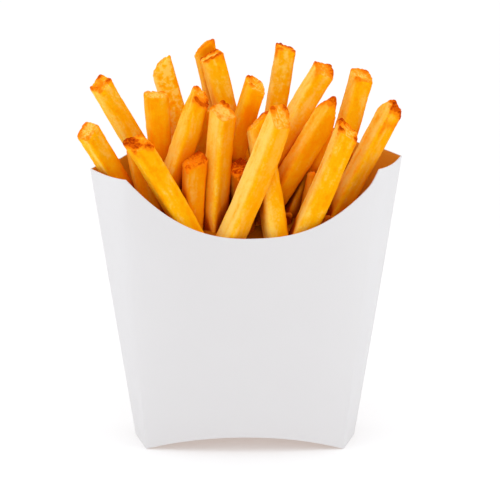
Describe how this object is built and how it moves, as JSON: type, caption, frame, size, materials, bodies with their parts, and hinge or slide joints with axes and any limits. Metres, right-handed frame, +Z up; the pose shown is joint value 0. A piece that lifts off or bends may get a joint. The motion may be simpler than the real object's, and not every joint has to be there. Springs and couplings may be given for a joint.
{
  "type": "carton of french fries",
  "caption": "Upright white paperboard scoop carton with an arched base, filled with thick-cut french fries that fan out of its mouth.",
  "frame": {"origin": "middle of the bounding box, at the surface that the carton stands on", "axes": "+Z up, the carton's scooped front panel faces -Y, X runs across it"},
  "size_m": [0.1248, 0.059, 0.1571],
  "materials": {
    "white_board": "matte",
    "fried_potato": "matte"
  },
  "bodies": {
    "root": {"carton": "white_board", "fries": "fried_potato"}
  },
  "joints": []
}
